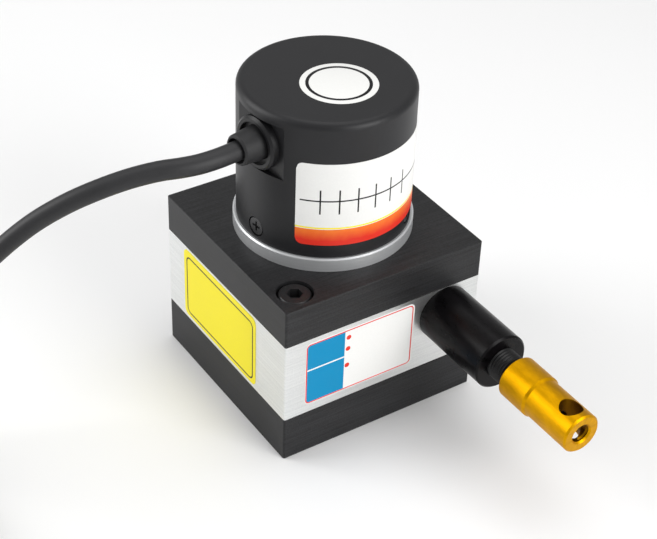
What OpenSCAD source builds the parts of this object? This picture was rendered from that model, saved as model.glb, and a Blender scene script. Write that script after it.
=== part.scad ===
// Draw wire encoder: a spring-wound measuring wire on a drum, read by a round
// shaft encoder on top. Origin at the centre of the base face, +Z along the
// encoder axis, wire drawn out along +X. Millimetres.

/* [Body] */
// Side of the square body
body_width = 50; // [50:1:60]
// Height of the black base plate, which holds the return spring
base_height = 11; // [10:0.5:14]
// Height of the silver drum housing
housing_height = 20; // [20:0.5:24]
// Height of the black cover plate
cover_height = 8.8; // [8.5:0.1:12]
// Radius of the upright edges
edge_radius = 0.5; // [0.3:0.1:2]
// Chamfer round the flat faces
edge_chamfer = 0.12; // [0.1:0.02:0.2]
// Distance of each corner screw from the axis, along X and along Y
corner_offset = 19.5; // [19:0.1:20]

/* [Base holes] */
// Spacing of the tapped base holes along X
mount_spacing_x = 24; // [22:1:26]
// Spacing of the tapped base holes along Y
mount_spacing_y = 40; // [39:1:42]
// Tap drill of an M4 base hole
mount_drill = 3.3; // [3.2:0.1:3.4]
// Depth of the base holes
mount_depth = 8; // [6:0.5:9]

/* [Drum and wire] */
// Wire paid out by one turn of the drum
wire_per_turn = 100; // [99:0.5:101]
// Diameter of the stranded wire
wire_diameter = 0.8; // [0.6:0.1:0.8]
// Turns of wire on the drum
wire_turns = 12; // [10:1:12]
// Height of the wire above the base face
wire_height = 24.3; // [24:0.1:24.6]
// Height of each drum flange
flange_height = 1.2; // [0.8:0.1:1.2]
// Turns of the return spring
spring_turns = 8; // [5:1:9]

/* [Wire outlet] */
// Diameter of the outlet nozzle
nozzle_diameter = 13; // [12:0.1:13.2]
// Length of the nozzle in front of the housing
nozzle_length = 20.4; // [14:0.2:24]
// Diameter of the threaded guide bush
bush_diameter = 7.3; // [7:0.1:8]
// Length of the guide bush in front of the nozzle
bush_length = 4.9; // [3:0.1:8]

/* [Pull head] */
// Diameter of the thick rear part
head_rear_diameter = 9.8; // [9.4:0.1:11]
// Length of the thick rear part
head_rear_length = 8.4; // [6:0.1:10]
// Diameter of the slim front part
head_front_diameter = 9; // [8:0.1:9.2]
// Length of the slim front part
head_front_length = 12.6; // [11:0.1:16]
// Diameter of the cross hole
cross_hole = 5; // [4:0.1:5]
// Distance of the cross hole from the front face
cross_hole_inset = 4; // [4:0.1:5]
// Tap drill of the M5 thread in the front face
head_drill = 4.2; // [4.1:0.1:4.3]

/* [Encoder] */
// Diameter of the silver flange ring
ring_diameter = 39.4; // [38.6:0.2:42]
// Height of the silver flange ring
ring_height = 3.1; // [2.5:0.1:4]
// Diameter of the black can
can_diameter = 38; // [37.6:0.2:38.4]
// Height of the can above the ring
can_height = 32.3; // [31:0.1:36]
// Radius of the can's top edge
can_edge = 1.6; // [1:0.1:2]
// Direction in which the cable leaves, from +X towards +Y
exit_angle = -82; // [-100:1:-60]
// Height of the cable exit above the base face
exit_height = 66.7; // [66:0.1:67]
// Diameter of the encoder shaft
shaft_diameter = 6; // [5:0.5:6]
// Diameter of the code disc
disc_diameter = 22; // [18:1:23]

/* [Cable] */
// Diameter of the cable
cable_diameter = 4.2; // [4:0.1:4.2]
// Diameter of the coil at the middle of its turns
coil_diameter = 50.4; // [46:0.2:50.4]
// Turns in each of the two layers of the coil
coil_turns = 4.06; // [4:0.01:4.2]

/* [Hidden] */
$fn = 64;
// A small overlap that lets a cut break cleanly through a face
cut = 1;
// Radial gap between a turning shaft and the bearing it runs in
running_gap = 0.03;

// Levels of the body, from the base face up
housing_z = base_height;
cover_z = housing_z + housing_height;
ring_z = cover_z + cover_height;
can_z = ring_z + ring_height;
can_top = can_z + can_height;

// Corner screws, M4 socket head
screw_r = 2;
screw_gap_r = 2.2;
head_r = 3.5;
head_h = 4;
head_bore_r = 4;
head_bore_depth = 4.3;

// Return spring and its pocket
pocket_r = 20;
pocket_floor = 2.5;
spring_z = 3.2;
spring_height = 6;
spring_strip = 0.5;
arbor_r = 5.6;
arbor_top = 9.8;
spring_inner_r = 7;
spring_outer_r = 17.4;
stud_x = 17.4;
stud_r = 1;

// Main shaft, drum and their bearings
shaft_r = 3;
journal_r = 5;
shaft_bottom = 3.2;
low_bearing_z = 11.8;
bearing_height = 5;
low_bearing_r = 6.5;
top_bearing_r = 9.5;
top_bearing_z = cover_z + 0.8;
shaft_top = cover_z + 6;
floor_top = housing_z + 3;
boss_top = low_bearing_z + bearing_height + 0.6;
cavity_r = 22;
pitch_r = wire_per_turn / (2 * PI);
wire_r = wire_diameter / 2;
core_r = pitch_r - wire_r;
drum_flange_r = 18.6;
winding_height = wire_turns * wire_diameter;
winding_z = wire_height - winding_height / 2;
drum_bottom = winding_z - flange_height;
drum_top = winding_z + winding_height + flange_height;
rim_r = 13;
hub_r = 8;
clamp_z = wire_height + 3.1;
clamp_r = 1.25;

// Wire outlet, measured along X from the drum axis
face_x = body_width / 2;
nozzle_end = face_x + nozzle_length;
nozzle_root = face_x - 5.5;
nozzle_root_r = 5;
nozzle_bore_r = 2.5;
bush_end = nozzle_end + bush_length;
bush_back = nozzle_end - 6;
guide_r = 1.7;
guide_length = 2;
wiper_r = 2.4;
wiper_length = 3.5;
wire_hole_r = 0.5;

// Pull head, measured along X
head_back = bush_end + 0.2;
head_step = head_back + head_rear_length;
head_front = head_step + head_front_length;
head_bore_back = head_back + 3.6;
cross_x = head_front - cross_hole_inset;
countersink = 0.4;
grub_r = 1.25;
grub_front = cross_x - cross_hole / 2 - 0.5;
grub_length = 4.5;
ferrule_r = 1.2;
ferrule_front = grub_front - grub_length - 0.1;

// Encoder, above the cover plate
pilot_r = 10;
pilot_depth = 2.4;
boss_r = 17.4;
flange_top = can_z + 8.4;
enc_bearing_r = 6.5;
enc_low_z = ring_z - 1.2;
enc_top_z = flange_top - 0.8 - bearing_height;
enc_shaft_r = shaft_diameter / 2;
enc_shaft_bottom = drum_bottom + 6.5;
flange_screw_r = 1.5;
flange_screw_pcd = 30;
flange_screw_angle = exit_angle + 60;
can_inner_r = 16;
can_roof = 2;
disc_z = flange_top + 2.8;
disc_height = 0.6;
board_z = flange_top + 8;
board_r = 15.4;
board_height = 1.6;
post_pcd = 27.2;
post_r = 1.9;
seal_z = can_z + 6.2;
seal_r = 0.7;
can_screw_z = can_z + 3;
can_screw_r = 1.25;
can_head_r = 2;
can_head_bore_r = 2.3;
can_head_seat = can_diameter / 2 - 1.1;

// Cable exit, measured outwards from the encoder axis
pad_distance = 17.6;
pad_bottom = exit_height - 6.1;
pad_top = exit_height + 6.1;
gland_ring_r = 5.9;
gland_ring_height = 2;
gland_recess_r = 4.7;
gland_spigot_r = 4.2;
gland_back = 12.6;
gland_bore_r = 3;
sleeve_root_r = 3.8;
sleeve_tip_r = 3.35;
sleeve_end = 24.1;
sleeve_mouth_r = 2.75;
sleeve_bore_r = 2.15;
cable_r = cable_diameter / 2;

// Coil of cable, two layers wound inwards and outwards again
coil_centre = [0.35, -124.1];
coil_base = 0.6;
tie_angle = 220;
coil_half_width = cable_diameter * coil_turns / 2 + cable_r;
coil_inner_r = coil_diameter / 2 - coil_half_width;
coil_outer_r = coil_diameter / 2 + coil_half_width;
coil_height = 2 * cable_diameter;

// Route of the cable from inside the gland down to the coil
cable_route = [[1.7, -12.4, 66.7], [2.1, -14.9, 66.7], [2.8, -19.8, 66.7], [3.5, -24.8, 66.7],
  [3.9, -28.8, 66.7], [3.7, -32.8, 66.6], [2.8, -36.7, 66.5], [1.3, -40.6, 66.2],
  [-0.6, -46.1, 65.2], [-2.9, -52, 63.2], [-5.5, -57.9, 60.3], [-8.3, -63.8, 56.2],
  [-11, -69.6, 50.8], [-13.8, -75.6, 44], [-16.4, -81.4, 36.4], [-18.7, -86.5, 28.9],
  [-20.7, -91.2, 21.8], [-22.6, -95.6, 15.8], [-24.5, -99.6, 11.2], [-26.6, -103.4, 8.2],
  [-28.9, -107.2, 6.9]];
// Route of the cable's end, off the bottom layer of the coil
tail_route = [[8, -156.9, 2.7], [13.9, -155.6, 2.7], [19.8, -154.2, 2.7], [25.6, -152.8, 2.7]];
tube_sides = 10;
lead_length = 30;

// ---- Shapes that repeat ----

// Square plate with round upright edges and chamfered faces
module square_plate(height) {
  inset = edge_chamfer;
  hull() {
    translate([0, 0, inset])
      plate_slab(height - 2 * inset, 0);
    plate_slab(height, inset);
  }
}

// One layer of the plate, drawn in by an inset on each side
module plate_slab(height, inset) {
  corner = body_width / 2 - edge_radius;
  for (x = [-corner, corner], y = [-corner, corner])
    translate([x, y, 0])
      cylinder(h = height, r = edge_radius - inset, $fn = 32);
}

// Places its children in the corners on one diagonal: side 1 or side -1
module on_diagonal(side) {
  for (s = [-1, 1])
    translate([s * corner_offset, -side * s * corner_offset, 0])
      children();
}

// Turns a revolved child so that its Z runs along the wire's outlet, from the drum axis
module on_outlet() {
  translate([0, pitch_r, wire_height])
    rotate([0, 90, 0])
      children();
}

// Turns a revolved child so that its Z runs outwards along the cable exit
module on_exit() {
  rotate([0, 0, exit_angle])
    translate([0, 0, exit_height])
      rotate([0, 90, 0])
        children();
}

// Spaces its children evenly round the axis, the first at a given angle
module round_axis(count, start = 0) {
  for (i = [0 : count - 1])
    rotate([0, 0, start + i * 360 / count])
      children();
}

// Tube between two radii
module ring(height, outer, inner) {
  difference() {
    cylinder(h = height, r = outer);
    translate([0, 0, -cut])
      cylinder(h = height + 2 * cut, r = inner);
  }
}

// Socket head screw pointing down from its head's seat at z = 0
module socket_screw(length, shank_r, cap_r, cap_h) {
  difference() {
    union() {
      translate([0, 0, -length])
        cylinder(h = length, r = shank_r);
      cylinder(h = cap_h - 0.3, r = cap_r);
      translate([0, 0, cap_h - 0.3])
        cylinder(h = 0.3, r1 = cap_r, r2 = cap_r - 0.3);
    }
    translate([0, 0, cap_h / 2])
      cylinder(h = cap_h, r = cap_r * 0.5, $fn = 6);
  }
}

// Flat cross for a screwdriver, centred on its own axis
module cross_recess(width, length, depth) {
  for (a = [0, 90])
    rotate([0, 0, a])
      cube([length, width, 2 * depth], center = true);
}

// Shielded ball bearing, standing on z = 0, with its grooved faces
module ball_bearing(bore_r, outer_r) {
  groove_in = bore_r + (outer_r - bore_r) * 0.3;
  groove_out = bore_r + (outer_r - bore_r) * 0.75;
  difference() {
    ring(bearing_height, outer_r, bore_r);
    for (z = [-cut, bearing_height - 0.4])
      translate([0, 0, z])
        ring(cut + 0.4, groove_out, groove_in);
  }
}

// ---- Base and return spring ----

module base_plate() {
  color([0.09, 0.09, 0.10])
    difference() {
      square_plate(base_height);
      translate([0, 0, pocket_floor])
        cylinder(h = base_height, r = pocket_r);
      on_diagonal(1)
        translate([0, 0, pocket_floor])
          cylinder(h = base_height, r = screw_r);
      on_diagonal(-1) {
        translate([0, 0, -cut])
          cylinder(h = base_height + 2 * cut, r = screw_gap_r);
        translate([0, 0, -cut])
          cylinder(h = head_bore_depth + cut, r = head_bore_r);
      }
      for (x = [-1, 1], y = [-1, 1])
        translate([x * mount_spacing_x / 2, y * mount_spacing_y / 2, -cut])
          cylinder(h = mount_depth + cut, r = mount_drill / 2);
      translate([stud_x, 0, pocket_floor - 1.5])
        cylinder(h = base_height, r = stud_r);
    }
}

module spring_stud() {
  color([0.70, 0.71, 0.73])
    translate([stud_x, 0, pocket_floor - 1.5])
      cylinder(h = spring_z + spring_height + 0.4 - pocket_floor + 1.5, r = stud_r);
}

// Radius of the spring's middle line after some degrees of winding
function spring_r(a) =
  spring_inner_r + (spring_outer_r - spring_inner_r - 2.2) * a / (360 * spring_turns);

// Flat spiral strip with a hook for the arbor and an eye for the stud
module power_spring() {
  step = 18;
  last = 360 * spring_turns;
  half = spring_strip / 2;
  inside = [for (a = [0 : step : last]) (spring_r(a) - half) * [cos(a), sin(a)]];
  outside = [for (a = [last : -step : 0]) (spring_r(a) + half) * [cos(a), sin(a)]];
  color([0.42, 0.44, 0.48])
    translate([0, 0, spring_z])
      difference() {
        union() {
          linear_extrude(spring_height)
            polygon(concat(inside, outside));
          translate([arbor_r - 1, -half, 0])
            cube([spring_inner_r - arbor_r + 1, spring_strip, spring_height]);
          translate([stud_x, 0, 0])
            cylinder(h = spring_height, r = stud_r + spring_strip + 0.7);
        }
        translate([stud_x, 0, -cut])
          cylinder(h = spring_height + 2 * cut, r = stud_r + 0.05);
      }
}

module spring_arbor() {
  color([0.62, 0.63, 0.65])
    difference() {
      translate([0, 0, shaft_bottom])
        ring(arbor_top - shaft_bottom, arbor_r, shaft_r);
      translate([arbor_r - 1.4, -0.6, shaft_bottom - cut])
        cube([arbor_r, 1.2, base_height]);
    }
}

// ---- Drum, its shaft and its bearings ----

module main_shaft() {
  color([0.74, 0.75, 0.77])
    difference() {
      union() {
        translate([0, 0, shaft_bottom])
          cylinder(h = boss_top - shaft_bottom, r = shaft_r);
        translate([0, 0, boss_top - 0.4])
          cylinder(h = shaft_top - boss_top + 0.4, r = journal_r);
      }
      translate([0, 0, enc_shaft_bottom - 0.3])
        cylinder(h = body_width, r = enc_shaft_r);
      grub_hole();
    }
}

// Hole for the clamping screw, open through the drum's rim for the key
module grub_hole() {
  translate([0, 0, clamp_z])
    rotate([0, -90, 45])
      translate([0, 0, enc_shaft_r - 0.5])
        cylinder(h = drum_flange_r, r = clamp_r);
}

module lower_bearing() {
  color([0.68, 0.69, 0.71])
    translate([0, 0, low_bearing_z])
      ball_bearing(shaft_r + running_gap, low_bearing_r);
}

module upper_bearing() {
  color([0.68, 0.69, 0.71])
    translate([0, 0, top_bearing_z])
      ball_bearing(journal_r + running_gap, top_bearing_r);
}

// Turned spool with a web, lightening holes and two flanges for the wire
module drum() {
  web_z = drum_bottom + 4.2;
  web_top = drum_bottom + 7.2;
  color([0.80, 0.81, 0.83])
    difference() {
      rotate_extrude()
        polygon([[journal_r, drum_bottom], [hub_r, drum_bottom], [hub_r, web_z],
          [rim_r, web_z], [rim_r, drum_bottom], [drum_flange_r, drum_bottom],
          [drum_flange_r, winding_z], [core_r, winding_z],
          [core_r, winding_z + winding_height], [drum_flange_r, winding_z + winding_height],
          [drum_flange_r, drum_top], [rim_r, drum_top], [rim_r, web_top],
          [hub_r, web_top], [hub_r, drum_top], [journal_r, drum_top]]);
      round_axis(6, 15)
        translate([(hub_r + rim_r) / 2, 0, drum_bottom])
          cylinder(h = winding_height, r = 1.8);
      grub_hole();
    }
}

module shaft_grub_screw() {
  color([0.12, 0.12, 0.13])
    translate([0, 0, clamp_z])
      rotate([0, -90, 45])
        translate([0, 0, enc_shaft_r])
          difference() {
            cylinder(h = hub_r - enc_shaft_r, r = clamp_r);
            translate([0, 0, 3])
              cylinder(h = hub_r, r = 0.75, $fn = 6);
          }
}

// Wound wire: one round ridge for each turn on the drum
module wire_winding() {
  color([0.63, 0.64, 0.65])
    rotate_extrude() {
      translate([core_r, winding_z])
        square([wire_r, winding_height]);
      for (i = [0 : wire_turns - 1])
        translate([pitch_r, winding_z + (i + 0.5) * wire_diameter])
          circle(r = wire_r, $fn = 24);
    }
}

// ---- Housing and cover ----

module drum_housing() {
  color([0.82, 0.83, 0.84])
    difference() {
      translate([0, 0, housing_z])
        union() {
          square_plate(housing_height);
          translate([0, 0, -0.8])
            cylinder(h = 2, r = pocket_r);
        }
      translate([0, 0, boss_top])
        cylinder(h = housing_height, r = cavity_r);
      translate([0, 0, floor_top])
        ring(boss_top - floor_top + cut, cavity_r, low_bearing_r + 2.5);
      translate([0, 0, low_bearing_z])
        cylinder(h = housing_height, r = low_bearing_r);
      cylinder(h = housing_z + cut, r = shaft_r + 1);
      on_diagonal(1)
        translate([0, 0, housing_z - cut])
          cylinder(h = housing_height + 2 * cut, r = screw_gap_r);
      on_diagonal(-1)
        translate([0, 0, housing_z - cut])
          cylinder(h = 8 + cut, r = screw_r);
      on_outlet() {
        translate([0, 0, nozzle_root])
          cylinder(h = body_width, r = nozzle_root_r);
        cylinder(h = body_width, r = nozzle_bore_r);
      }
    }
}

module cover_plate() {
  color([0.09, 0.09, 0.10])
    difference() {
      translate([0, 0, cover_z])
        square_plate(cover_height);
      translate([0, 0, cover_z - cut])
        cylinder(h = top_bearing_z + bearing_height - cover_z + cut, r = top_bearing_r);
      translate([0, 0, cover_z])
        cylinder(h = cover_height, r = top_bearing_r - 3);
      translate([0, 0, ring_z - pilot_depth])
        cylinder(h = cover_height, r = pilot_r);
      on_diagonal(1) {
        translate([0, 0, cover_z - cut])
          cylinder(h = cover_height + 2 * cut, r = screw_gap_r);
        translate([0, 0, ring_z - head_bore_depth])
          cylinder(h = head_bore_depth + cut, r = head_bore_r);
      }
      round_axis(3, flange_screw_angle)
        translate([flange_screw_pcd / 2, 0, cover_z - cut]) {
          cylinder(h = cover_height + 2 * cut, r = flange_screw_r + 0.1);
          cylinder(h = cut + 3.4, r = 3);
        }
    }
}

// Two long screws from the cover down into the base plate
module cover_screws() {
  seat = ring_z - head_bore_depth;
  color([0.10, 0.10, 0.11])
    on_diagonal(1)
      translate([0, 0, seat])
        socket_screw(seat - pocket_floor - 1, screw_r, head_r, head_h);
}

// Two screws from the base up into the housing
module base_screws() {
  color([0.36, 0.37, 0.38])
    on_diagonal(-1)
      translate([0, 0, head_bore_depth])
        rotate([180, 0, 0])
          socket_screw(housing_z + 7.5 - head_bore_depth, screw_r, head_r, head_h);
}

// ---- Wire outlet ----

module outlet_nozzle() {
  color([0.05, 0.05, 0.055])
    on_outlet()
      difference() {
        rotate_extrude()
          polygon([[nozzle_bore_r, nozzle_root], [nozzle_root_r, nozzle_root],
            [nozzle_root_r, face_x], [nozzle_diameter / 2, face_x],
            [nozzle_diameter / 2, nozzle_end - 0.4], [nozzle_diameter / 2 - 0.4, nozzle_end],
            [nozzle_bore_r, nozzle_end]]);
        translate([0, 0, bush_back])
          cylinder(h = nozzle_length, r = bush_diameter / 2);
      }
}

// Threaded bush in the nozzle's mouth, hollow behind for the wiper
module guide_bush() {
  color([0.10, 0.10, 0.105])
    on_outlet()
      rotate_extrude()
        polygon([[wiper_r, bush_back], [bush_diameter / 2, bush_back],
          [bush_diameter / 2, bush_end - 0.3], [bush_diameter / 2 - 0.3, bush_end],
          [guide_r, bush_end], [guide_r, bush_end - guide_length],
          [1.2, bush_end - guide_length], [1.2, bush_back + wiper_length],
          [wiper_r, bush_back + wiper_length]]);
}

// Ceramic eyelet, rounded where the wire rubs
module wire_guide() {
  color([0.92, 0.91, 0.88])
    on_outlet()
      translate([0, 0, bush_end - guide_length])
        difference() {
          cylinder(h = guide_length, r = guide_r);
          translate([0, 0, -cut])
            cylinder(h = guide_length + 2 * cut, r = wire_hole_r);
          translate([0, 0, guide_length - 0.5])
            cylinder(h = 0.51, r1 = wire_hole_r, r2 = wire_hole_r + 0.5);
        }
}

module wire_wiper() {
  color([0.55, 0.52, 0.47])
    on_outlet()
      translate([0, 0, bush_back])
        ring(wiper_length, wiper_r, wire_hole_r);
}

// Free stretch of wire, from the edge of the winding to the pull head
module wire() {
  color([0.63, 0.64, 0.65])
    on_outlet()
      translate([0, 0, 5.4])
        cylinder(h = ferrule_front - 0.4 - 5.4, r = wire_r, $fn = 24);
}

// ---- Pull head ----

module wire_ferrule() {
  color([0.72, 0.55, 0.35])
    on_outlet()
      translate([0, 0, head_bore_back])
        ring(ferrule_front - head_bore_back, ferrule_r, wire_r + 0.05);
}

module pull_head() {
  rear_r = head_rear_diameter / 2;
  front_r = head_front_diameter / 2;
  chamfer = 0.4;
  color([0.93, 0.70, 0.10])
    on_outlet()
      difference() {
        rotate_extrude()
          polygon([[0, head_back], [rear_r - chamfer, head_back], [rear_r, head_back + chamfer],
            [rear_r, head_step - 0.6], [rear_r - 0.4, head_step], [front_r, head_step],
            [front_r, head_front - chamfer], [front_r - chamfer, head_front], [0, head_front]]);
        translate([0, 0, head_back - cut])
          cylinder(h = head_front, r = wire_r + 0.4);
        translate([0, 0, head_bore_back])
          cylinder(h = cross_x - head_bore_back, r = grub_r);
        translate([0, 0, cross_x])
          cylinder(h = head_front, r = head_drill / 2);
        translate([0, 0, head_front - countersink])
          cylinder(h = countersink + 0.01, r1 = head_drill / 2, r2 = head_drill / 2 + countersink);
        translate([0, 0, cross_x])
          rotate([0, 90, 0])
            cylinder(h = head_rear_diameter * 2, r = cross_hole / 2, center = true);
      }
}

// Socket screw that holds the ferrule, seen through the cross hole
module head_grub_screw() {
  color([0.08, 0.08, 0.085])
    on_outlet()
      translate([0, 0, grub_front - grub_length])
        difference() {
          cylinder(h = grub_length, r = grub_r);
          translate([0, 0, grub_length - 2])
            cylinder(h = 3, r = 0.87, $fn = 6);
        }
}

// ---- Encoder ----

// Flange ring, pilot and the boss that carries the bearings and the can
module encoder_flange() {
  color([0.84, 0.85, 0.86])
    difference() {
      rotate_extrude()
        polygon([[0, ring_z - pilot_depth + 0.1], [pilot_r, ring_z - pilot_depth + 0.1],
          [pilot_r, ring_z], [ring_diameter / 2, ring_z],
          [ring_diameter / 2, can_z - 0.3], [ring_diameter / 2 - 0.3, can_z],
          [boss_r, can_z], [boss_r, seal_z - seal_r], [boss_r - 2 * seal_r, seal_z - seal_r],
          [boss_r - 2 * seal_r, seal_z + seal_r], [boss_r, seal_z + seal_r],
          [boss_r, flange_top], [0, flange_top]]);
      translate([0, 0, enc_low_z])
        cylinder(h = bearing_height, r = enc_bearing_r);
      translate([0, 0, enc_top_z])
        cylinder(h = bearing_height + cut, r = enc_bearing_r);
      cylinder(h = can_top, r = enc_bearing_r - 1.2);
      translate([0, 0, ring_z - pilot_depth])
        cylinder(h = enc_low_z + cut - ring_z + pilot_depth, r = enc_bearing_r);
      round_axis(3, flange_screw_angle)
        translate([flange_screw_pcd / 2, 0, ring_z - cut])
          cylinder(h = cut + 5, r = flange_screw_r);
      round_axis(3, exit_angle)
        translate([boss_r - 4, 0, can_screw_z])
          rotate([0, 90, 0])
            cylinder(h = 5, r = can_screw_r);
      round_axis(3, 90)
        translate([post_pcd / 2, 0, flange_top - 2.5])
          cylinder(h = 3, r = 1);
    }
}

// Screws from under the cover that hold the encoder
module flange_screws() {
  color([0.55, 0.56, 0.58])
    round_axis(3, flange_screw_angle)
      translate([flange_screw_pcd / 2, 0, cover_z + 3.4])
        rotate([180, 0, 0])
          socket_screw(cover_height - 3.4 + 4.6, flange_screw_r, 2.75, 3);
}

module encoder_bearings() {
  color([0.68, 0.69, 0.71])
    for (z = [enc_low_z, enc_top_z])
      translate([0, 0, z])
        ball_bearing(enc_shaft_r + running_gap, enc_bearing_r);
}

// Shaft with the hub that clamps the code disc
module encoder_shaft() {
  color([0.75, 0.76, 0.78])
    rotate_extrude()
      polygon([[0, enc_shaft_bottom], [enc_shaft_r - 0.3, enc_shaft_bottom],
        [enc_shaft_r, enc_shaft_bottom + 0.3], [enc_shaft_r, flange_top + 0.6],
        [6, flange_top + 0.6], [6, disc_z], [enc_shaft_r, disc_z],
        [enc_shaft_r, disc_z + disc_height + 1], [0, disc_z + disc_height + 1]]);
}

module code_disc() {
  color([0.80, 0.82, 0.78, 0.6])
    translate([0, 0, disc_z])
      ring(disc_height, disc_diameter / 2, enc_shaft_r);
}

// Light source below and sensor above, either side of the disc's rim
module reader_block() {
  gap = 0.6;
  color([0.13, 0.13, 0.15])
    difference() {
      translate([7, -4, flange_top])
        cube([7.5, 8, board_z - flange_top]);
      translate([0, 0, disc_z - gap])
        cylinder(h = disc_height + 2 * gap, r = disc_diameter / 2 + gap);
    }
}

module board_posts() {
  color([0.80, 0.68, 0.36])
    round_axis(3, 90)
      translate([post_pcd / 2, 0, 0]) {
        translate([0, 0, flange_top])
          difference() {
            cylinder(h = board_z - flange_top, r = post_r, $fn = 6);
            translate([0, 0, 3])
              cylinder(h = board_z, r = 1);
          }
        translate([0, 0, flange_top - 2.5])
          cylinder(h = 3, r = 1);
      }
}

// Round board with its driver chip, capacitors and the cable's terminal strip
module circuit_board() {
  color([0.06, 0.30, 0.16])
    translate([0, 0, board_z])
      difference() {
        union() {
          cylinder(h = board_height, r = board_r);
          translate([-7, -1, board_height])
            cube([7, 5, 1.6]);
          translate([5, 4, board_height])
            cylinder(h = 3.4, r = 2);
          translate([-3, 8, board_height])
            cylinder(h = 3.4, r = 1.6);
          rotate([0, 0, exit_angle])
            translate([5, -5, board_height])
              cube([3, 10, 2.4]);
        }
        round_axis(3, 90)
          translate([post_pcd / 2, 0, -cut])
            cylinder(h = board_height + 2 * cut, r = 1.1);
      }
}

module board_screws() {
  color([0.72, 0.72, 0.74])
    round_axis(3, 90)
      translate([post_pcd / 2, 0, board_z + board_height])
        difference() {
          union() {
            cylinder(h = 1, r = 1.8);
            translate([0, 0, -board_height - 3])
              cylinder(h = board_height + 3, r = 1);
          }
          translate([0, 0, 1])
            cross_recess(0.4, 2, 0.5);
        }
}

// Rod between two points
module rod(from, to, r) {
  d = to - from;
  translate(from)
    rotate([0, atan2(norm([d.x, d.y]), d.z), atan2(d.y, d.x)])
      cylinder(h = norm(d), r = r, $fn = 16);
}

// Leads from the cable's inner end to the terminal strip on the board
module inner_leads() {
  color([0.75, 0.20, 0.15])
    rotate([0, 0, exit_angle])
      for (i = [-3.5 : 1 : 3.5])
        rod([6.5, i * 1.2, board_z + board_height + 2.4], [12.4, i * 0.36, exit_height], 0.17);
}

module can_seal() {
  color([0.07, 0.07, 0.07])
    translate([0, 0, seal_z])
      rotate_extrude()
        translate([boss_r - seal_r, 0])
          circle(r = seal_r, $fn = 24);
}

// Deep drawn can with a milled pad for the gland and three sunk screw seats
module encoder_can() {
  outer = can_diameter / 2;
  color([0.08, 0.08, 0.085])
    difference() {
      rotate_extrude() {
        translate([0, can_z])
          square([outer, can_height - can_edge]);
        square_top = can_top - can_edge;
        translate([0, square_top])
          square([outer - can_edge, can_edge]);
        translate([outer - can_edge, square_top])
          intersection() {
            circle(r = can_edge);
            square(can_edge);
          }
      }
      translate([0, 0, can_z - cut])
        cylinder(h = flange_top + 0.6 - can_z + cut, r = boss_r);
      translate([0, 0, can_z])
        cylinder(h = can_height - can_roof, r = can_inner_r);
      rotate([0, 0, exit_angle])
        translate([pad_distance, -outer, pad_bottom])
          cube([outer, can_diameter, pad_top - pad_bottom]);
      on_exit()
        cylinder(h = outer + cut, r = gland_spigot_r);
      round_axis(3, exit_angle)
        translate([0, 0, can_screw_z])
          rotate([0, 90, 0]) {
            translate([0, 0, can_inner_r])
              cylinder(h = outer, r = can_screw_r);
            translate([0, 0, can_head_seat])
              cylinder(h = outer, r = can_head_bore_r);
          }
    }
}

module can_screws() {
  head = 0.9;
  color([0.25, 0.25, 0.26])
    round_axis(3, exit_angle)
      translate([can_head_seat, 0, can_screw_z])
        rotate([0, 90, 0])
          difference() {
            union() {
              translate([0, 0, -4])
                cylinder(h = 4, r = can_screw_r);
              cylinder(h = head, r = can_head_r);
            }
            translate([0, 0, head])
              cross_recess(0.5, 2.4, 0.6);
          }
}

// ---- Cable exit ----

// Flanged bush with a ring-shaped recess in its face
module cable_gland() {
  front = pad_distance + gland_ring_height;
  color([0.07, 0.07, 0.075])
    on_exit()
      rotate_extrude()
        polygon([[gland_bore_r, gland_back], [gland_spigot_r, gland_back],
          [gland_spigot_r, pad_distance], [gland_ring_r, pad_distance],
          [gland_ring_r, front - 0.5], [gland_ring_r - 0.5, front],
          [gland_recess_r, front], [gland_recess_r, front - 1.1],
          [gland_bore_r, front - 1.1]]);
}

module gland_nut() {
  color([0.60, 0.61, 0.62])
    on_exit()
      translate([0, 0, gland_back + 0.3])
        difference() {
          rotate([0, 0, 30])
            cylinder(h = 1.8, r = 5.9, $fn = 6);
          translate([0, 0, -cut])
            cylinder(h = 4, r = gland_spigot_r);
        }
}

// Rubber sleeve that tapers towards the cable
module cable_sleeve() {
  seat = pad_distance + gland_ring_height - 1.1;
  color([0.06, 0.06, 0.06])
    on_exit()
      rotate_extrude()
        polygon([[sleeve_bore_r, gland_back], [gland_bore_r, gland_back],
          [gland_bore_r, seat], [sleeve_root_r, seat], [sleeve_tip_r, sleeve_end - 0.4],
          [sleeve_tip_r - 0.3, sleeve_end], [sleeve_mouth_r, sleeve_end],
          [sleeve_mouth_r, sleeve_end - 1.8], [sleeve_bore_r, sleeve_end - 2.2]]);
}

// Unit vector along a step
function unit(v) = v / norm(v);

// Direction of a route at one of its points
function heading(route, i) =
  unit(route[min(i + 1, len(route) - 1)] - route[max(i - 1, 0)]);

// Tube swept along a route, one ring of sides at each point
module swept_tube(route, r, sides) {
  last = len(route) - 1;
  points = [for (i = [0 : last])
    let (t = heading(route, i), u = unit(cross([0, 0, 1], t)), v = cross(t, u))
      for (k = [0 : sides - 1])
        route[i] + r * (cos(360 * k / sides) * u + sin(360 * k / sides) * v)];
  walls = [for (i = [0 : last - 1], k = [0 : sides - 1])
    let (n = (k + 1) % sides)
      [i * sides + k, (i + 1) * sides + k, (i + 1) * sides + n, i * sides + n]];
  start = [for (k = [0 : sides - 1]) k];
  end = [for (k = [sides - 1 : -1 : 0]) last * sides + k];
  polyhedron(points, concat(walls, [start, end]), convexity = 6);
}

module cable() {
  color([0.10, 0.10, 0.11])
    swept_tube(cable_route, cable_r, tube_sides);
}

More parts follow.
